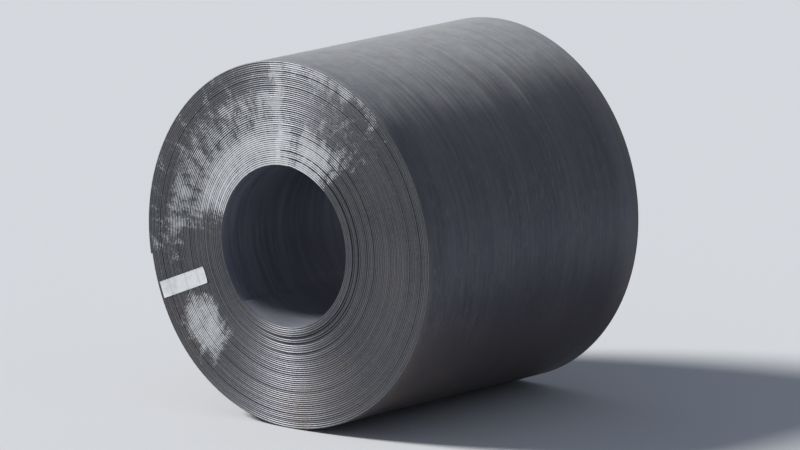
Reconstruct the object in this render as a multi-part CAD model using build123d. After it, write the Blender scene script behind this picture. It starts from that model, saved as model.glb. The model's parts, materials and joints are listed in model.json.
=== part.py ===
from build123d import *
import math
import os

# A coil of hot rolled steel strip, lying on its side as it is stored in a yard.
# Millimetres. +Y runs along the bore, from the labelled near end to the far end, and +Z is up.
# The origin is on the floor, under the middle of the coil.
# Angles are seen from the near end, counter-clockwise from +X.

# The strip and how it is wound
bore_diameter = 762.0
strip_width = 1524.0
strip_thickness = 9.525
scale_gap = 0.155
turn_count = 50

# How unevenly the turns lie: packs of a few turns have slid along the axis together
pack_turns = (3, 4, 3, 5, 4)
rim_turns = 5
telescope = 26.0
telescope_turns = 18
edge_scatter = 3.0
rim_recess = 1.0
mill_edge = 2.0

# The two ends of the strip: the tail outside and the head inside
tail_angle = 190.0
tail_climb_angle = 40.0
head_angle = 230.0
head_climb_angle = 20.0

# The blank label on the near end
label_length = 300.0
label_width = 80.0
label_thickness = 1.0
label_corner = 6.0
label_angle = 202.0
label_to_rim = 25.0

# What follows from them
turn_pitch = strip_thickness + scale_gap
bore_radius = bore_diameter / 2
outer_radius = bore_radius + turn_count * turn_pitch
axis_height = outer_radius
trim = turn_pitch
golden_ratio = (math.sqrt(5) - 1) / 2


def pack_starts():
    """The first turn of each pack, from the bore outwards. The last pack is the flush rim."""
    starts = []
    turn = 0
    while turn < turn_count - rim_turns:
        starts.append(turn)
        turn += pack_turns[len(starts) % len(pack_turns)]
    return starts + [turn_count - rim_turns]


first_turns = pack_starts()
last_pack = len(first_turns) - 1


def pack_radii(pack):
    """Inner and outer radius of a pack of turns that slid together."""
    next_turn = (first_turns + [turn_count])[pack + 1]
    return (bore_radius + first_turns[pack] * turn_pitch, bore_radius + next_turn * turn_pitch)


def raw_slip(pack):
    """How far a pack has slid towards the near end, before the whole coil is centred."""
    if pack == last_pack:
        return 0.0
    slide = telescope * max(0.0, 1 - first_turns[pack] / telescope_turns) ** 2
    # Steps of the golden ratio spread the packs without a pattern that the eye picks up.
    uneven = edge_scatter * (pack * golden_ratio % 1)
    return rim_recess + slide + uneven


raw_slips = [raw_slip(pack) for pack in range(last_pack + 1)]
middle_slip = (max(raw_slips) + min(raw_slips)) / 2
slips = [slip - middle_slip for slip in raw_slips]


def near_end(pack):
    """Where a pack's near edge lies along Y."""
    return -strip_width / 2 - slips[pack]


def far_end(pack):
    """Where its far edge lies: every turn is one strip wide."""
    return near_end(pack) + strip_width


def polar(radius, angle):
    """A point of the end view."""
    turn = math.radians(angle)
    return (radius * math.cos(turn), radius * math.sin(turn))


def lap_outline(radius, start_angle, climb_angle):
    """A circle that drops one turn at start_angle and climbs back over climb_angle."""
    end_angle = start_angle + climb_angle
    low = radius - turn_pitch
    # The climb is close to a larger arc that leaves the circle without a corner.
    half_drop = (1 - math.cos(math.radians(climb_angle / 2))) / (1 - math.cos(math.radians(climb_angle)))
    middle = polar(radius - turn_pitch * half_drop, start_angle + climb_angle / 2)
    opposite = polar(radius, (start_angle + end_angle) / 2 + 180)
    round_part = ThreePointArc(polar(radius, end_angle), opposite, polar(radius, start_angle))
    step = Line(polar(radius, start_angle), polar(low, start_angle))
    climb = ThreePointArc(polar(low, start_angle), middle, polar(radius, end_angle))
    return make_face(Wire([round_part, step, climb]))


def bore_outline(radius, end_angle, climb_angle):
    """The bore, with the pocket where the first turn climbs over the head of the strip."""
    start_angle = end_angle - climb_angle
    high = radius + turn_pitch
    half_rise = (1 - math.cos(math.radians(climb_angle / 2))) / (1 - math.cos(math.radians(climb_angle)))
    middle = polar(radius + turn_pitch * half_rise, start_angle + climb_angle / 2)
    opposite = polar(radius, (start_angle + end_angle) / 2 + 180)
    round_part = ThreePointArc(polar(radius, end_angle), opposite, polar(radius, start_angle))
    climb = ThreePointArc(polar(radius, start_angle), middle, polar(high, end_angle))
    step = Line(polar(high, end_angle), polar(radius, end_angle))
    return make_face(Wire([round_part, climb, step]))


def wound_packs():
    """All packs of turns, turned in one piece about the bore, a little too thick both ways."""
    near_points = []
    far_points = []
    for pack in range(last_pack + 1):
        inner, outer = pack_radii(pack)
        if pack == 0:
            near_points.append((inner - trim, near_end(pack) + mill_edge + trim))
            far_points.append((inner - trim, far_end(pack) - mill_edge - trim))
            inner += mill_edge
        if pack == last_pack:
            outer -= mill_edge
        near_points += [(inner, near_end(pack)), (outer, near_end(pack))]
        far_points += [(inner, far_end(pack)), (outer, far_end(pack))]
    near_points.append((outer_radius + trim, near_end(last_pack) + mill_edge + trim))
    far_points.append((outer_radius + trim, far_end(last_pack) - mill_edge - trim))
    profile = Polyline(near_points + far_points[::-1], close=True)
    return revolve(make_face(profile), axis=Axis.Y)


def coil():
    """The coil: the turned packs, cut to the outline that the strip's two ends give it."""
    end_view = lap_outline(outer_radius, tail_angle, tail_climb_angle)
    end_view -= bore_outline(bore_radius, head_angle, head_climb_angle)
    outline = extrude(Plane.XZ * end_view, amount=strip_width, both=True)
    return Pos(0, 0, axis_height) * (wound_packs() & outline)


def label():
    """A blank label, lying flat on the packs of the near end that stand out furthest under it."""
    outer = outer_radius - label_to_rim
    inner = outer - label_length
    covered = [pack for pack in range(last_pack + 1) if pack_radii(pack)[0] < outer and pack_radii(pack)[1] > inner]
    seat = min(near_end(pack) for pack in covered)
    x, z = polar((inner + outer) / 2, label_angle)
    along = polar(1, label_angle)
    place = Plane(origin=(x, seat, z + axis_height), x_dir=(along[0], 0, along[1]), z_dir=(0, -1, 0))
    sheet = RectangleRounded(label_length, label_width, label_corner)
    return extrude(place * sheet, amount=label_thickness)


os.makedirs("parts", exist_ok=True)
export_step(coil(), "parts/coil.step")
export_step(label(), "parts/label.step")
print("outer diameter", round(2 * outer_radius, 1))
print("length over the slipped packs", round(strip_width + max(slips) - min(slips), 1))
print("bore wall from", round(near_end(0), 2), "to", round(far_end(0), 2))
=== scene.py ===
# %% [markdown]
# A coil of hot rolled steel strip, lying on its side.
# The mill winds one long strip, 3/8 in thick and 5 ft wide, fifty times round a 762 mm mandrel and
# pulls the mandrel out. What is left is a heavy barrel with a bore. Its two flat ends are nothing
# but the edges of the fifty turns, and they tell how the coil was wound: some turns stand out,
# some lie back, and the whole end shimmers in rings.
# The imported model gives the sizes, and this script dresses it.

# %% Load the frame
import json
import math

import bmesh
import bpy
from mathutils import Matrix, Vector, noise


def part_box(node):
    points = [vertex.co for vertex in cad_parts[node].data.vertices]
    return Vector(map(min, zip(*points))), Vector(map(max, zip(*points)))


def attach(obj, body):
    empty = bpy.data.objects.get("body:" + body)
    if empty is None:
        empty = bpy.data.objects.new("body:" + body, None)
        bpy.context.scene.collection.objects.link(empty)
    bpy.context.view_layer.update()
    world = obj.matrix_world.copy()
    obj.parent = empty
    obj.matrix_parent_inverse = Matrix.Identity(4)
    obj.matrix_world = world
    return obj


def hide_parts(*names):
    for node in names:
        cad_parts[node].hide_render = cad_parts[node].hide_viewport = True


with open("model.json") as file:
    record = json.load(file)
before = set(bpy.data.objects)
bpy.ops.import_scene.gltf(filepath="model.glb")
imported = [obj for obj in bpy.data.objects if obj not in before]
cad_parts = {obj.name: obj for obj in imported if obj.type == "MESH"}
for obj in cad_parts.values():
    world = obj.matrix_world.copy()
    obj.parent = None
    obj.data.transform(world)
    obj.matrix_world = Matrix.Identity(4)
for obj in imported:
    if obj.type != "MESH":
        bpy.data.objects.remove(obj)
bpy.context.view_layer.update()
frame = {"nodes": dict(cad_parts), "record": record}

coil_low, coil_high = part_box("coil")
print("coil box", [round(v, 4) for v in (*coil_low, *coil_high)])

# %% [markdown]
# The sizes of the winding come from the frame. The bore is a mount in the record, and the outside
# is the coil's own box. The dressed coil stays a hair inside that box.

# %% Sizes of the winding
turn_count = 50
skin = 0.0006
axis_height = (coil_low.z + coil_high.z) / 2
outer_radius = (coil_high.z - coil_low.z) / 2 - skin
bore_mount = next(mount for mount in frame["record"]["mounts"] if mount["name"] == "bore")
bore_radius = bore_mount["dims"]["r_mm"] / 1000
pitch = (outer_radius - bore_radius) / turn_count
print("one turn takes", round(pitch * 1000, 3), "mm")

# %% [markdown]
# The turns don't lie level. Packs of a few turns have slid along the axis, and the innermost ones
# stand out furthest. The frame's coil has those packs as flat rings, so their places are read off
# its mesh: a triangle that faces the near end belongs to a ring, and its y says how far the ring
# stands out.

# %% Read the slipped packs off the frame
flat_to_near_end = -0.99


def slipped_packs(node):
    """[(inner radius, outer radius, y)] of the flat rings that face the near end."""
    rings = {}
    mesh = node.data
    middle = (coil_low.y + coil_high.y) / 2
    for face in mesh.polygons:
        if face.normal.y > flat_to_near_end or face.center.y > middle:
            continue
        corners = [mesh.vertices[i].co for i in face.vertices]
        radii = [math.hypot(corner.x, corner.z - axis_height) for corner in corners]
        y = round(face.center.y, 4)
        inner, outer = rings.get(y, (math.inf, 0.0))
        rings[y] = (min(inner, *radii), max(outer, *radii))
    return sorted((inner, outer, y) for y, (inner, outer) in rings.items())


packs = slipped_packs(frame["nodes"]["coil"])
rim_y = packs[-1][2]
strip_width = coil_high.y - rim_y
print(len(packs), "packs, strip", round(strip_width, 4), "m wide")
for pack in packs:
    print([round(v, 4) for v in pack])

# %% [markdown]
# The camera stands where the photograph was taken from: about 46 m away and 11.3 degrees above the
# horizon, looking at the coil's near end and its right side. From so far the lens must be long,
# and a long lens keeps the two ends nearly the same size.

# %% Camera
view_azimuth = math.radians(40.5)
view_elevation = math.radians(11.3)
camera_distance = 46.0
view_depth = 300.0
frame_width = 3.75
sensor = 36.0

camera = bpy.data.objects.new("camera", bpy.data.cameras.new("camera"))
bpy.context.collection.objects.link(camera)
towards_camera = Vector((
    math.sin(view_azimuth) * math.cos(view_elevation),
    -math.cos(view_azimuth) * math.cos(view_elevation),
    math.sin(view_elevation),
))
aim = Vector((0.05, 0.0, axis_height - 0.01))
camera.location = aim + towards_camera * camera_distance
camera.rotation_euler = towards_camera.to_track_quat("Z", "Y").to_euler()
camera.data.sensor_width = sensor
camera.data.lens = sensor * camera_distance / frame_width
camera.data.clip_end = view_depth
bpy.context.scene.camera = camera
print("lens", round(camera.data.lens), "mm")

# %% [markdown]
# One soft light comes from the left of the picture, 38 degrees high. It slants across the near
# end, so that each turn's rounded edge catches it in a fan of bright lines, and it leaves the
# barrel's right side in shade, as in the photograph. An area lamp would do the same, but the floor
# would fade away from it. A sun lamp with a wide angle is as soft and lights the whole floor
# evenly.

# %% Light
light_direction = Vector((-0.635, -0.46, 0.62)).normalized()
light_softness = math.radians(15)
light_strength = 3.5

key = bpy.data.objects.new("key", bpy.data.lights.new("key", "SUN"))
bpy.context.collection.objects.link(key)
key.data.angle = light_softness
key.data.energy = light_strength
key.rotation_euler = light_direction.to_track_quat("Z", "Y").to_euler()
print("light", round(math.degrees(math.asin(light_direction.z))), "degrees high")

# %% [markdown]
# Finishes are written as sums. A shader's maths is a chain of Math nodes, which is slow to wire by
# hand. Field wraps one output socket, so that a + b adds the Math node, and 1 - mask works too.

# %% Sums of sockets
class Field:
    """One socket, usable in Python arithmetic."""

    def __init__(self, finish, socket):
        self.finish = finish
        self.socket = socket

    def _maths(self, operation, *values):
        return self.finish.node("Math", {"operation": operation}, dict(enumerate(values)))

    def __add__(self, other):
        return self._maths("ADD", self, other)

    def __sub__(self, other):
        return self._maths("SUBTRACT", self, other)

    def __rsub__(self, other):
        return self._maths("SUBTRACT", other, self)

    def __mul__(self, other):
        return self._maths("MULTIPLY", self, other)

    def __truediv__(self, other):
        return self._maths("DIVIDE", self, other)

    def __abs__(self):
        return self._maths("ABSOLUTE", self)

    __radd__ = __add__
    __rmul__ = __mul__


# %% [markdown]
# Finish owns one material. Its node method makes any node: the node's type, then its settings,
# then the values or links of its sockets. The others are short names for the nodes that steel and
# paper need most.

# %% Finishes
COLOUR_A, COLOUR_B, COLOUR_RESULT = 6, 7, 2


class Finish:
    """A material and the nodes that paint it."""

    def __init__(self, name):
        self.material = bpy.data.materials.new(name)
        self.material.use_nodes = True
        self.tree = self.material.node_tree
        self.shader = self.tree.nodes["Principled BSDF"]
        self.place = self.node("TexCoord", output="Object")

    def feed(self, socket, value):
        """Links a Field to a socket, or sets a constant on it."""
        if isinstance(value, Field):
            self.tree.links.new(value.socket, socket)
        else:
            socket.default_value = value

    def node(self, kind, settings=None, sockets=None, output=0):
        """Any node: its type, its settings, and then the values or links of its sockets."""
        made = self.tree.nodes.new("ShaderNode" + kind)
        for name, value in (settings or {}).items():
            setattr(made, name, value)
        for name, value in (sockets or {}).items():
            self.feed(made.inputs[name], value)
        return Field(self, made.outputs[output])

    def attribute(self, name):
        """A number that the mesh keeps at each point."""
        return self.node("Attribute", {"attribute_name": name}, output="Fac")

    def stretched(self, scale, offset):
        """Object coordinates, scaled along each axis and then moved."""
        sockets = {"Vector": self.place, "Scale": scale, "Location": offset}
        return self.node("Mapping", None, sockets)

    def vector(self, x, y, z):
        """Three numbers made one vector."""
        return self.node("CombineXYZ", None, {"X": x, "Y": y, "Z": z})

    def parts(self, vector):
        """One vector made three numbers."""
        split = self.node("SeparateXYZ", None, {"Vector": vector})
        return [Field(self, socket) for socket in split.socket.node.outputs]

    def noise(self, vector, scale, detail, roughness):
        """Clouds between 0 and 1. On object coordinates, scale is waves per metre."""
        sockets = {"Vector": vector, "Scale": scale, "Detail": detail, "Roughness": roughness}
        return self.node("TexNoise", None, sockets)

    def step(self, value, low, high):
        """0 below low, 1 above high, and smooth between."""
        sockets = {"Value": value, "From Min": low, "From Max": high}
        return self.node("MapRange", {"interpolation_type": "SMOOTHSTEP"}, sockets)

    def mix(self, factor, first, second):
        """A colour between two colours. The Mix node's colour sockets go by number."""
        sockets = {"Factor": factor, COLOUR_A: first, COLOUR_B: second}
        return self.node("Mix", {"data_type": "RGBA"}, sockets, COLOUR_RESULT)

    def paint(self, **sockets):
        """Feeds the shader's own sockets, by name."""
        for name, value in sockets.items():
            self.feed(self.shader.inputs[name.replace("_", " ")], value)

    def bump(self, height, strength, distance):
        """Fine relief that the light sees, up to distance metres high."""
        sockets = {"Height": height, "Strength": strength, "Distance": distance}
        self.feed(self.shader.inputs["Normal"], self.node("Bump", None, sockets))


def tint(red, green, blue):
    """A colour with its alpha."""
    return (red, green, blue, 1.0)


# %% [markdown]
# The floor is a plain pale sheet. It only catches the coil's shadow, so it has no gloss at all,
# and it is large enough that its far edge is lost in the backdrop.

# %% Floor
floor_size = 160.0

sheet = bmesh.new()
bmesh.ops.create_grid(sheet, x_segments=1, y_segments=1, size=floor_size / 2)
floor_mesh = bpy.data.meshes.new("floor")
sheet.to_mesh(floor_mesh)
sheet.free()
floor = bpy.data.objects.new("floor", floor_mesh)
bpy.context.collection.objects.link(floor)
floor_finish = Finish("pale_floor")
floor_finish.paint(Base_Color=tint(0.76, 0.76, 0.76), Roughness=1.0, Specular_IOR_Level=0.0)
floor.data.materials.append(floor_finish.material)
print("floor", floor_size, "m wide")

# %% [markdown]
# The world has two jobs. For the steel's matt part it is a weak, even and slightly blue fill. For
# the camera and for mirrored light it is a pale backdrop, which is brightest behind the coil on
# the left. That is where the top of the barrel looks when it mirrors, so it shines.

# %% World
fill_colour = tint(0.83, 0.95, 1.18)
fill_strength = 0.22
backdrop_colour = tint(1, 1, 1)
backdrop_dim = 0.40
backdrop_bright = 1.0
bright_side = Vector((-0.62, 0.74, 0.26)).normalized()
glow_edge = 0.35


class Backdrop(Finish):
    """The same language, for the world's nodes."""

    def __init__(self, world):
        self.tree = world.node_tree
        self.shader = self.tree.nodes["Background"]


world = bpy.data.worlds.new("studio")
world.use_nodes = True
bpy.context.scene.world = world
bpy.context.scene.view_settings.view_transform = "Standard"

sky = Backdrop(world)
direction = sky.node("TexCoord", output="Generated")
dot_product = {"operation": "DOT_PRODUCT"}
facing = sky.node("VectorMath", dot_product, {0: direction, 1: bright_side}, output="Value")
glow = sky.step(facing, glow_edge, 1.0)
backdrop_strength = glow * (backdrop_bright - backdrop_dim) + backdrop_dim

seeing = ("Is Camera Ray", "Is Glossy Ray", "Is Transmission Ray")
straight, mirrored, through = (sky.node("LightPath", output=name) for name in seeing)
seen = sky.step(straight + mirrored + through, 0.0, 1.0)
sky.paint(
    Color=sky.mix(seen, fill_colour, backdrop_colour),
    Strength=seen * (backdrop_strength - fill_strength) + fill_strength,
)
print("world has", len(sky.tree.nodes), "nodes")

# %% [markdown]
# The wound body. On the real coil it is one strip, so the rings on its ends are one long spiral.
# It could be fifty rings, but then nothing would join one turn to the next and the strip would
# have no ends. Here the profile of all turns' edges is drawn once and spun round the bore without
# closing it. Each point then moves out by as much as the strip has risen by then. The last column
# of one turn lands on the first column of the next, and merging the doubles closes the spiral by
# itself. Each turn's edge is drawn with five points: how far across the turn each one lies, and
# how high it stands between the valley, 0, and the crown, 1.

# %% Draw the profile of the turns
edge_shape = ((0.0, 0.0), (0.2, 0.65), (0.4, 1.0), (0.6, 1.0), (0.8, 0.65))
barrel_spans = 10
NEAR, WALL, FAR = -1.0, 0.0, 1.0
roles = ("turn", "crown", "end", "along")


def wound_profile(shape):
    """The closed profile: near edges outwards, barrel, far edges inwards, bore.

    Layers keep each point's roles.
    """
    layers = {role: shape.verts.layers.float.new(role) for role in roles}
    edges = [(turn + part, crown) for turn in range(turn_count) for part, crown in edge_shape]
    edges.append((float(turn_count), 0.0))
    points = [(turn, crown, NEAR, 0.0) for turn, crown in edges]
    points += [(float(turn_count), 0.0, WALL, i / barrel_spans) for i in range(1, barrel_spans)]
    points += [(turn, crown, FAR, 1.0) for turn, crown in reversed(edges)]
    points += [(0.0, 0.0, WALL, 1 - i / barrel_spans) for i in range(1, barrel_spans)]
    verts = []
    for turn, crown, end, along in points:
        vert = shape.verts.new((bore_radius + turn * pitch, (along - 0.5) * strip_width, 0.0))
        for role, value in zip(roles, (turn, crown, end, along)):
            vert[layers[role]] = value
        verts.append(vert)
    profile = [shape.edges.new((a, b)) for a, b in zip(verts, verts[1:] + verts[:1])]
    return verts, profile, layers


winding = bmesh.new()
first_column, profile, layers = wound_profile(winding)
print("profile of", len(profile), "edges")

# %% [markdown]
# Spin gives every point a copy in each column. One extra column stands a hair before the place
# where the strip's head begins, so that the head gets a square end instead of a wedge. Places
# round the coil are counted as a sweep from the strip's tail, the way the strip is wound.

# %% Spin the profile
columns = 144
full_turn = 2 * math.pi
head_sweep = math.radians(40)
square_end = math.radians(0.1)

even_sweeps = [full_turn * i / columns for i in range(columns + 1)]
sweeps = sorted(even_sweeps + [head_sweep - square_end])
head_column = min(range(len(sweeps)), key=lambda i: abs(sweeps[i] - head_sweep))
steps = len(sweeps) - 1

spun = bmesh.ops.spin(
    winding,
    geom=first_column + profile,
    cent=(0, 0, 0),
    axis=(0, -1, 0),
    angle=full_turn,
    steps=steps,
    use_merge=False,
    use_duplicate=False,
)
last_column = {item for item in spun["geom_last"] if isinstance(item, bmesh.types.BMVert)}
print(len(winding.verts), "points,", len(winding.faces), "faces, head at column", head_column)

# %% [markdown]
# Where does the strip really lie? Its distance from the axis grows by one strip thickness in each
# turn. All of that growth happens where the turn climbs over the head of the strip, and the rest
# of the turn runs level, as on a real coil. Its place along the axis comes from the slipped packs,
# with a little scatter from turn to turn. That is a function of the lap: how many turns have been
# wound when the strip gets to a point.

# %% Where the strip goes
head_climb = math.radians(20)
tail_climb = math.radians(40)
slide_span = 0.7
scatter = 0.0009
scatter_rate = 0.83
scatter_row = (4.7, 0.3)
first_laps = [round((inner - bore_radius) / pitch) for inner, _, _ in packs]
pack_depths = [y for _, _, y in packs]


def smooth(value):
    """0 below 0, 1 above 1, and smooth between."""
    value = min(1.0, max(0.0, value))
    return value * value * (3 - 2 * value)


def radius_at(turn, sweep):
    """Distance from the axis of the face between two turns."""
    climb = head_climb + (tail_climb - head_climb) * turn / turn_count
    return bore_radius + pitch * (turn - 1 + smooth((sweep - head_sweep + climb) / climb))


def edge_at(lap):
    """How far out the strip's near edge stands on this lap."""
    y = pack_depths[0]
    for first, before, after in zip(first_laps[1:], pack_depths, pack_depths[1:]):
        y += (after - before) * smooth((lap - first) / slide_span)
    return y + scatter * (1 + noise.noise(Vector((lap * scatter_rate, *scatter_row))))


print("near edge at y", [round(edge_at(lap), 4) for lap in (0, turn_count // 2, turn_count)])

# %% [markdown]
# Now every point is laid. A crown takes the depth of its own turn. A valley lies between two
# turns, so it goes behind whichever of them stands further back. The outer wrap gets shallow
# dents, because a strip this stiff never lies down quite round.

# %% Lay each point where the strip goes
tail_angle = math.radians(190)
edge_depth = 0.0030
dent_depth = 0.0012
dents_round = 3.1
dents_along = 2.3
dressed_width = strip_width - 4 * scatter


def place(turn, crown, end, along, column):
    """The point in space. Between two turns is a valley, and a turn's own edge is its crown."""
    sweep = sweeps[column]
    if turn < 1 and column < head_column:
        turn, crown = 1.0, 0.0
    laps = sweep / full_turn
    if crown > 0:
        near = far = edge_at(math.floor(turn) + laps)
    else:
        inside = edge_at(max(0.0, turn - 1 + laps))
        outside = edge_at(turn + laps)
        near, far = max(inside, outside), min(inside, outside)
    near += edge_depth * (1 - crown)
    far += dressed_width - edge_depth * (1 - crown)
    y = {NEAR: near, FAR: far}.get(end, near + (far - near) * along)
    radius = radius_at(turn, sweep)
    angle = tail_angle + sweep
    round_x, round_z = math.cos(angle), math.sin(angle)
    if turn == turn_count:
        dent = noise.noise(Vector((round_x * dents_round, round_z * dents_round, y * dents_along)))
        radius -= dent_depth * smooth(sweep / tail_climb) * (0.5 + 0.5 * dent)
    return Vector((radius * round_x, y, axis_height + radius * round_z))


for vert in winding.verts:
    turned = math.atan2(vert.co.z, vert.co.x) % full_turn
    column = steps if vert in last_column else round(turned / full_turn * steps) % steps
    turn, crown, end, along = (vert[layers[role]] for role in roles)
    turn = round(turn, 4)
    vert.co = place(turn, crown, end, along, column)
    vert[layers["turn"]] = turn + sweeps[column] / full_turn
print("tops out at", round(max(vert.co.z for vert in winding.verts), 4), "m")

# %% [markdown]
# The faces are sorted by what they are on the strip before any of them merge: the outer wrap, the
# wall of the bore, or the edges of the turns. Then the doubles close the spiral, and the gap that
# is left is the square tail of the strip, which gets its own face.

# %% Close the spiral
OUTER_WRAP, BORE_WALL, TURN_EDGES = 0, 1, 2
merge_distance = 1e-5
sliver = 1e-6

for face in winding.faces:
    on_wall = any(vert[layers["end"]] == WALL for vert in face.verts)
    outside = any(vert[layers["turn"]] > turn_count / 2 for vert in face.verts)
    face.material_index = (OUTER_WRAP if outside else BORE_WALL) if on_wall else TURN_EDGES
    face.smooth = True

bmesh.ops.remove_doubles(winding, verts=winding.verts, dist=merge_distance)
bmesh.ops.dissolve_degenerate(winding, edges=winding.edges, dist=sliver)
tail_rim = [edge for edge in winding.edges if edge.is_boundary]
tail = bmesh.ops.holes_fill(winding, edges=tail_rim, sides=0)["faces"]
bmesh.ops.recalc_face_normals(winding, faces=winding.faces)
open_edges = sum(1 for edge in winding.edges if not edge.is_manifold)
print("tail rim", len(tail_rim), "edges,", len(tail), "tail faces,", open_edges, "open edges")

# %% [markdown]
# The bmesh becomes an object that sits at the origin, with its place in its mesh. All its faces
# are smooth, which rounds the edges of the turns, but smooth shading would also smear the rims of
# the barrel. So the corners sharper than an angle are marked sharp.

# %% The wound coil
rim_corner = math.radians(55)


def finished_piece(shape, name, materials, sharp):
    """Turns a bmesh into an object that rides with the coil."""
    mesh = bpy.data.meshes.new(name)
    shape.to_mesh(mesh)
    shape.free()
    for material in materials:
        mesh.materials.append(material)
    mesh.set_sharp_from_angle(angle=sharp)
    piece = bpy.data.objects.new(name, mesh)
    bpy.context.collection.objects.link(piece)
    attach(piece, "root")
    return piece


outer_wrap = Finish("outer_wrap_scale")
bore_wall = Finish("bore_wall_scale")
turn_edges = Finish("turn_edges")
wound_materials = [outer_wrap.material, bore_wall.material, turn_edges.material]
wound_coil = finished_piece(winding, "wound_coil", wound_materials, sharp=rim_corner)
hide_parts("coil")
triangles = sum(len(face.vertices) - 2 for face in wound_coil.data.polygons)
print("wound coil", triangles, "triangles")

# %% [markdown]
# The label is a sheet of paper glued over the edges of thirty turns. Its middle and its tilt come
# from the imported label's box: it points away from the axis.

# %% Where the label lies
label_low, label_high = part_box("label")
middle_x = (label_low.x + label_high.x) / 2
middle_z = (label_low.z + label_high.z) / 2 - axis_height
label_angle = math.atan2(middle_z, middle_x)
outwards = Vector((math.cos(label_angle), 0, math.sin(label_angle)))
sideways = Vector((-math.sin(label_angle), 0, math.cos(label_angle)))
label_middle = Vector((middle_x, 0, axis_height + middle_z))
print("label at", round(math.degrees(label_angle) % 360), "degrees")

# %% [markdown]
# Paper can't go down into the valleys, so it lies on the crowns, sags a little between them, and
# dips where turns lie back. A flat card would look like a tile.

# %% How paper rests on the turns
paper_sag = 0.0007


def rest_of_paper(x, z):
    """The y that paper has here on the near end, and how hard a crown presses on it from below."""
    z -= axis_height
    sweep = (math.atan2(z, x) - tail_angle) % full_turn
    radius = math.hypot(x, z)
    inwards = reversed(range(turn_count))
    turn = next(t for t in inwards if t == 0 or radius_at(t, sweep) <= radius)
    across_turn = (radius - radius_at(turn, sweep)) / pitch
    pressed = 0.5 - 0.5 * math.cos(full_turn * across_turn)
    laps = sweep / full_turn
    crowns = min(edge_at(max(0, t) + laps) for t in (turn - 1, turn, turn + 1))
    return crowns + paper_sag * (1 - pressed), pressed


middle_y, _ = rest_of_paper(label_middle.x, label_middle.z)
print("paper's middle rests at y", round(middle_y, 4))

# %% [markdown]
# The sheet is draped like this. A grid with four points to a turn is fine enough to follow the
# crowns. Its corners are rounded, each point moves out to the crowns under it, and solidify gives
# the sheet its thickness last. The glue has let go at the corners, so they curl, most at the end
# beside the bore.

# %% Drape the label
label_size = (0.300, 0.080)
label_cells = (126, 12)
label_corner = 0.006
corner_segments = 4
paper_thickness = 0.0003
paper_gap = 0.0001
curl = 0.0035
curl_start = 1.5
outer_curl = 0.4
crease = math.radians(40)

paper = bmesh.new()
bmesh.ops.create_grid(paper, x_segments=label_cells[0], y_segments=label_cells[1], size=0.5)
bmesh.ops.scale(paper, vec=(*label_size, 1), verts=paper.verts)
corners = [vert for vert in paper.verts if len(vert.link_edges) == 2]
bmesh.ops.bevel(
    paper, geom=corners, offset=label_corner, offset_type="OFFSET", affect="VERTICES",
    segments=corner_segments, profile=0.5, material=-1,
)
across = paper.verts.layers.float.new("across")
pressing = paper.verts.layers.float.new("pressed")
for vert in paper.verts:
    long_way, short_way = vert.co.x / label_size[0] * 2, vert.co.y / label_size[1] * 2
    flat = label_middle + outwards * vert.co.x + sideways * vert.co.y
    towards_corner = abs(long_way) + abs(short_way)
    lift = curl * smooth((towards_corner - curl_start) / (2 - curl_start))
    if long_way >= 0:
        lift *= outer_curl
    y, pressed = rest_of_paper(flat.x, flat.z)
    vert[across] = short_way
    vert[pressing] = pressed * (1 - min(1.0, lift / paper_sag))
    vert.co = Vector((flat.x, y - paper_thickness - paper_gap - lift, flat.z))
bmesh.ops.smooth_vert(paper, verts=paper.verts, factor=0.5, use_axis_y=True)
bmesh.ops.recalc_face_normals(paper, faces=paper.faces)
front = sum((face.normal * face.calc_area() for face in paper.faces), Vector())
if front.y > 0:
    bmesh.ops.reverse_faces(paper, faces=paper.faces)
bmesh.ops.solidify(paper, geom=paper.faces, thickness=paper_thickness)
for face in paper.faces:
    face.smooth = True

label_paper = Finish("label_paper")
paper_label = finished_piece(paper, "paper_label", [label_paper.material], sharp=crease)
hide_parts("label")
label_depths = [vert.co.y for vert in paper_label.data.vertices]
print("label y from", round(min(label_depths), 4), "to", round(max(label_depths), 4))

# %% [markdown]
# The outer wrap is hot rolled steel: blue-grey mill scale with streaks that run the way the strip
# ran through the rolls, which is round the coil. So the noise is stretched: slow round the barrel
# and quick along its axis. Three sizes of streak lie over each other, because the real ones range
# from a hand's width down to hairlines, and soft patches keep them from looking ruled. The offsets
# only move one noise away from another, so that no two have their peaks in the same places.

# %% Streaks and clouds of the outer wrap
def streaked(finish, along, around, offset=0.0, detail=4.0):
    """Noise in streaks that run round the coil, with its waves per metre each way."""
    stretched = finish.stretched((around, along, around), (offset, offset, offset))
    return finish.noise(stretched, 1.0, detail, 0.6)


widest, finest = 5.0, 420.0
wide = streaked(outer_wrap, widest, 0.8)
fine = streaked(outer_wrap, 46.0, 1.6, 3.0)
hairlines = streaked(outer_wrap, finest, 9.0, 1.0)
cloudy = outer_wrap.noise(outer_wrap.place, 2.2, 5.0, 0.6)
patchy = outer_wrap.noise(outer_wrap.place, 12.0, 6.0, 0.7)
print("streaks from", round(1000 / widest), "to", round(1000 / finest, 1), "mm wide")

# %% [markdown]
# Here and there the scale has flaked off in specks, which are paler and duller. Short scuffs show
# where one turn rubbed on the next, and a few long, thin scratches come from the guides of the
# coiler. Each is a noise, cut off high up by a step, so that only its peaks are left.

# %% Finish of the outer wrap: mill scale
scale_dark = tint(0.051, 0.057, 0.079)
scale_pale = tint(0.088, 0.095, 0.119)
scale_flaked = tint(0.13, 0.128, 0.128)

flaking = outer_wrap.noise(outer_wrap.place, 85.0, 6.0, 0.78)
scratching = streaked(outer_wrap, 190.0, 1.1, 11.0, detail=2.0)
scuffing = streaked(outer_wrap, 60.0, 14.0, 17.0, detail=6.0)

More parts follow.
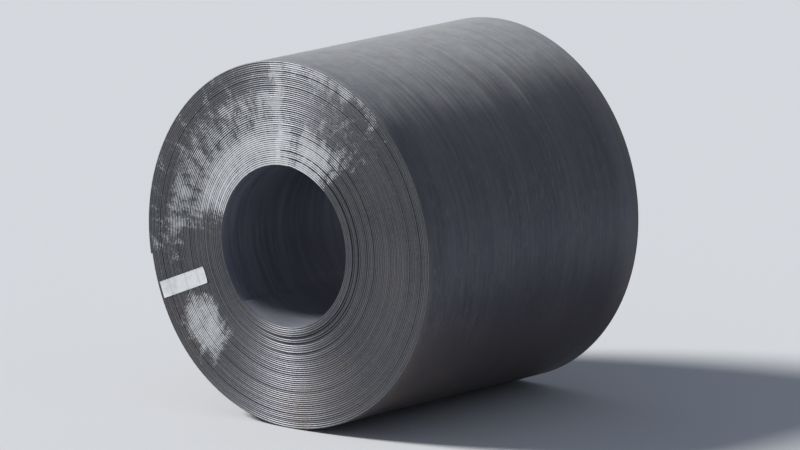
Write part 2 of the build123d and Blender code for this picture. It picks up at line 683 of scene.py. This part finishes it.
tone = outer_wrap.step(wide * 0.25 + fine * 0.35 + hairlines * 0.2 + patchy * 0.2, 0.37, 0.63)
wrap_colour = outer_wrap.mix(tone, scale_dark, scale_pale)
flakes = outer_wrap.step(flaking * 0.8 + cloudy * 0.2, 0.585, 0.63) * 0.6
scratches = outer_wrap.step(scratching + (flaking - 0.5) * 0.12, 0.68, 0.72) * 0.5
scuffs = outer_wrap.step(scuffing * 0.7 + cloudy * 0.3, 0.55, 0.60) * 0.4
for mark in (flakes, scratches, scuffs):
    wrap_colour = outer_wrap.mix(mark, wrap_colour, scale_flaked)
print("mill scale in", len(outer_wrap.tree.nodes), "nodes")

# %% [markdown]
# What came later lies over the scale. Rust starts at the two rims and low down.

# %% Finish of the outer wrap: rust
scale_rust = tint(0.15, 0.095, 0.065)

_, y, z = outer_wrap.parts(outer_wrap.place)
height = z / (2 * outer_radius)
rim_distance = abs(y) / (strip_width / 2)
rust_at_rims = outer_wrap.step(rim_distance, 0.93, 1.0) * 0.7
rust_low_down = outer_wrap.step(1 - height, 0.45, 0.95) * 0.5
rust_grit = outer_wrap.noise(outer_wrap.place, 150.0, 5.0, 0.8)
rust_runs = cloudy * 0.45 + streaked(outer_wrap, 20.0, 3.0, 7.0) * 0.3 + rust_grit * 0.45
rust = outer_wrap.step(rust_runs, 0.56, 0.72) * (rust_at_rims + rust_low_down)
wrap_colour = outer_wrap.mix(rust, wrap_colour, scale_rust)
print("and rust in", len(outer_wrap.tree.nodes), "nodes")

# %% [markdown]
# A pale band lies along the top. It is partly dust, fine-grained and broken up by the streaks,
# and partly a painted sheen that stands in for the light on the top of the barrel, kept weaker
# near the near rim. The lower side gets a brown tint: partly grime from the ground, and partly
# painted shade with a painted reflection of the brown ground. Dust and rust don't shine like
# metal, so they lower Metallic, and dust makes the surface rougher as well.

# %% Finish of the outer wrap: dust, painted sheen, grime and painted shade
dust_and_sheen = tint(0.42, 0.425, 0.43)
grime_and_shade = tint(0.110, 0.090, 0.088)

# The pale band on top is dust and a painted sheen for the light on the top of the barrel.
dust_and_sheen_break = (cloudy - 0.5) * 0.10 + (wide - 0.5) * 0.10 + (fine - 0.5) * 0.08
dust_and_sheen_mask = outer_wrap.step(height + dust_and_sheen_break, 0.84, 0.98)
near_rim = 1 - outer_wrap.step(y, -0.75, -0.1)
speckle = outer_wrap.noise(outer_wrap.place, 190.0, 4.0, 0.75)
uneven = (patchy - 0.5) * 0.6 + (speckle - 0.5) * 0.9
uneven = uneven + (fine - 0.5) * 0.5 + (hairlines - 0.5) * 0.5
dust_and_sheen_amount = dust_and_sheen_mask * (0.7 - near_rim * 0.2 + uneven)
wrap_colour = outer_wrap.mix(dust_and_sheen_amount, wrap_colour, dust_and_sheen)
# The brown tint low down is grime, painted shade and a painted reflection of the brown ground.
grime_and_shade_mask = 1 - outer_wrap.step(height + (cloudy - 0.5) * 0.3, 0.1, 0.5)
grime_and_shade_amount = grime_and_shade_mask * (0.8 + (flaking - 0.5) * 0.8)
wrap_colour = outer_wrap.mix(grime_and_shade_amount, wrap_colour, grime_and_shade)

rough_wear = (flakes + scuffs) * 0.1
rough_scale = 0.36 + fine * 0.12 + cloudy * 0.1 + dust_and_sheen_mask * 0.1 + rough_wear + hairlines * 0.04
outer_wrap.paint(
    Base_Color=wrap_colour,
    Metallic=0.55 - rust * 0.5 - dust_and_sheen_mask * 0.35 - flakes * 0.3 - scuffs * 0.2,
    Roughness=rough_scale,
)
wrap_relief = fine * 0.3 + cloudy * 0.25 + hairlines * 0.2 + flakes * 0.15 - scratches * 0.2
outer_wrap.bump(wrap_relief, 0.25, 0.0008)
print("outer wrap in", len(outer_wrap.tree.nodes), "nodes")

# %% [markdown]
# The wall of the bore is the same strip seen from the other side, in the dark. Dust that blows in
# comes to rest along its lowest line. That paler line is also painted light, where light from the
# mouth falls on the floor of the bore.

# %% Finish of the bore wall
bore_dark = tint(0.105, 0.113, 0.150)
bore_pale = tint(0.175, 0.183, 0.228)
blown_dust_and_light = tint(0.27, 0.272, 0.285)

bore_streaks = streaked(bore_wall, 24.0, 2.0, 5.0)
bore_hairlines = streaked(bore_wall, 300.0, 9.0, 2.0)
bore_specks = bore_wall.noise(bore_wall.place, 110.0, 5.0, 0.75)
bore_tone = bore_wall.step(bore_streaks * 0.7 + bore_hairlines * 0.3, 0.36, 0.64)
bore_colour = bore_wall.mix(bore_tone, bore_dark, bore_pale)
_, _, z = bore_wall.parts(bore_wall.place)
above_lowest = (z - axis_height) / bore_radius + 1
# The paler lowest line is settled dust and painted light on the floor of the bore.
settled_dust_and_light = 1 - bore_wall.step(above_lowest + (bore_specks - 0.5) * 0.08, 0.0, 0.40)
settled_dust_and_light_amount = settled_dust_and_light * (0.4 + (bore_specks - 0.5) * 1.4)
bore_wall.paint(
    Base_Color=bore_wall.mix(settled_dust_and_light_amount, bore_colour, blown_dust_and_light),
    Metallic=0.4 - settled_dust_and_light * 0.3,
    Roughness=0.45 + bore_streaks * 0.2,
)
bore_wall.bump(bore_streaks * 0.5 + bore_hairlines * 0.3 + bore_specks * 0.2, 0.2, 0.0006)
print("bore wall in", len(bore_wall.tree.nodes), "nodes")

# %% [markdown]
# The edges of the turns are the coil's face. The knocks and the rubbing of handling reach only
# their crowns, so those are bare and bright. The valleys are painted near black: partly dark scale
# and rust, and partly painted shade in the creases between the turns. No two turns have the same
# grey, so one noise is read along the turn number alone: it changes from ring to ring and not
# round a ring. The finer grain of a worn edge changes along each turn as well.

# %% Finish of the turn edges: bare steel, scale and painted shade
edge_dark = tint(0.090, 0.093, 0.105)
edge_bright = tint(0.176, 0.180, 0.196)
valley_scale_and_shade = tint(0.026, 0.023, 0.023)
edge_rust = tint(0.10, 0.062, 0.042)

turn = turn_edges.attribute("turn")
crown = turn_edges.attribute("crown")
ring_tone = turn_edges.noise(turn_edges.vector(turn * 0.9, 0.0, 0.0), 1.0, 2.0, 0.6)
drift = turn_edges.noise(turn_edges.place, 2.6, 4.0, 0.6)
grit = turn_edges.noise(turn_edges.place, 55.0, 5.0, 0.65)
blots = turn_edges.noise(turn_edges.place, 11.0, 4.0, 0.62)
grain = turn_edges.noise(turn_edges.place, 130.0, 4.0, 0.7)

worn = ring_tone * 0.45 + drift * 0.15 + grit * 0.2 + grain * 0.2
edge_colour = turn_edges.mix(turn_edges.step(worn, 0.38, 0.62), edge_dark, edge_bright)
x, y, z = turn_edges.parts(turn_edges.place)
near_end = 1 - turn_edges.step(y, -0.01, 0.01)
low_down = 1 - turn_edges.step(z, 0.05, 0.7)
rust_bloom = low_down * 0.04 + (1 - near_end) * 0.05
rusting = grit * 0.5 + drift * 0.5 + rust_bloom
edge_rusty = turn_edges.step(rusting, 0.5, 0.68) * (0.35 + rust_bloom * 3)
edge_colour = turn_edges.mix(edge_rusty, edge_colour, edge_rust)
# Painted shade: the valleys get a near-black colour, for dark scale and the shade in the creases.
edge_colour = turn_edges.mix(1 - turn_edges.step(crown, 0.0, 0.5), edge_colour, valley_scale_and_shade)
print("bare turn edges in", len(turn_edges.tree.nodes), "nodes")

# %% [markdown]
# Chalk is rubbed over many turns at the upper left of the near end, thickest beside the bore, and
# in one patch below the label. One narrow stroke across the turns above the bore is a painted
# highlight in chalk's colour: it stands in for the upper half of the fan of sheen on the turns'
# edges. Where each patch lies is said in the coil's own terms, an angle round the bore and a
# distance from its axis. The angle is counted from the middle of the chalk, so that the place
# where an angle jumps from 180 to -180 degrees falls far from it. Noise is added to both, so that
# the patches get frayed edges.

# %% Where a point lies on the end
chalk_middle = math.radians(135)
up = z - axis_height
radius = turn_edges.node("Math", {"operation": "SQRT"}, {0: x * x + up * up})
ahead = x * math.cos(chalk_middle) + up * math.sin(chalk_middle)
beside = up * math.cos(chalk_middle) - x * math.sin(chalk_middle)
turned = turn_edges.node("Math", {"operation": "ARCTAN2"}, {0: beside, 1: ahead}) * (180 / math.pi)
frayed_angle = turned + (blots - 0.5) * 14 + (grit - 0.5) * 6
frayed_radius = radius + (blots - 0.5) * 0.08


def between(value, low, high, soft):
    """1 between low and high, fading to 0 over soft on both sides."""
    above_low = turn_edges.step(value, low - soft, low + soft)
    return above_low * (1 - turn_edges.step(value, high - soft, high + soft))


def patch(angles, radii, soft_angle, soft_radius):
    """A soft, frayed patch, from one angle to the other and from one radius to the other."""
    rounded = between(frayed_angle, *angles, soft_angle)
    return rounded * between(frayed_radius, *radii, soft_radius)


print("chalk counted from", round(math.degrees(chalk_middle)), "degrees")

# %% [markdown]
# A stick of chalk drawn over ridges skips. A light stroke marks only the crowns, and a heavy one
# reaches down their flanks. So the chalk isn't mixed in by a soft mask, which would look like fog.
# Its amount says how far down from the crowns the chalk, and the painted highlight with it, has
# got, and noise across the turns breaks it into strokes. The two densest patches have a weak halo
# round them, and the last line rubs a narrow gap out of them all.

# %% Finish of the turn edges: chalk and a painted highlight
chalk_and_sheen_white = tint(0.62, 0.63, 0.64)
chalk_and_sheen_weight = 1.25
chalk_and_sheen_skipping = 2.6
chalk_and_sheen_threshold = 0.36

chalk_and_sheen_amount = (
    patch((-80, 29), (0.30, 0.53), 9, 0.05) * 0.60
    + patch((-90, 46), (0.30, 0.55), 9, 0.05) * 0.30
    + patch((-46, 44), (0.53, 0.72), 12, 0.05) * 0.50
    + patch((-40, 40), (0.70, 0.90), 14, 0.05) * 0.24
    + patch((40, 62), (0.64, 0.86), 10, 0.05) * 0.34
    + patch((-96, -44), (0.53, 0.90), 10, 0.04) * 0.30
    + patch((-78, -36), (0.79, 0.90), 10, 0.03) * 0.16
    # Painted highlight: this narrow stroke stands in for the upper half of the sheen fan.
    + patch((-42.5, -38), (0.40, 0.85), 1.2, 0.02) * 0.36
    + patch((76, 96), (0.58, 0.76), 7, 0.06) * 0.60
    + patch((68, 104), (0.53, 0.84), 8, 0.05) * 0.26
    - patch((-56, -47), (0.30, 0.80), 2, 0.03) * 0.45
)
strokes = turn_edges.noise(turn_edges.vector(radius * 11.0, turned * 0.22, 0.0), 1.0, 3.0, 0.6)
skips = strokes * 0.5 + blots * 0.15 + grain * 0.35 - 0.5
reach = chalk_and_sheen_amount * near_end * chalk_and_sheen_weight + skips * chalk_and_sheen_skipping - chalk_and_sheen_threshold
chalk_and_sheen = turn_edges.step(crown + reach, 1.0, 1.35)
turn_edges.paint(
    Base_Color=turn_edges.mix(chalk_and_sheen * 0.92, edge_colour, chalk_and_sheen_white),
    Metallic=(0.85 - edge_rusty) * (1 - chalk_and_sheen),
    Roughness=0.38 + drift * 0.1 + chalk_and_sheen * 0.4,
)
turn_edges.bump(blots * 0.3 + grit * 0.3 + grain * 0.4, 0.2, 0.0008)
print("turn edges in", len(turn_edges.tree.nodes), "nodes")

# %% [markdown]
# Plain paper, blank. Grey dirt has been rubbed on it where the crowns press through, as a pencil
# does over a coin, and along its edges.

# %% Finish of the label
paper_clean = tint(0.68, 0.69, 0.69)
paper_dirty = tint(0.36, 0.35, 0.335)

stains = label_paper.noise(label_paper.place, 14.0, 5.0, 0.65)
fibres = label_paper.noise(label_paper.place, 420.0, 3.0, 0.6)
smears = label_paper.noise(label_paper.place, 60.0, 4.0, 0.6)
edge_dirt = label_paper.step(abs(label_paper.attribute("across")), 0.7, 1.0)
rubbed = label_paper.step(label_paper.attribute("pressed") * 0.5 + smears * 0.6, 0.62, 0.86) * 0.35
dirt = label_paper.step(stains + edge_dirt * 0.1, 0.45, 0.75) * 0.45 + rubbed
label_paper.paint(
    Base_Color=label_paper.mix(dirt, paper_clean, paper_dirty),
    Roughness=0.7 + fibres * 0.1,
)
label_paper.bump(fibres, 0.15, 0.0002)
print("label in", len(label_paper.tree.nodes), "nodes")
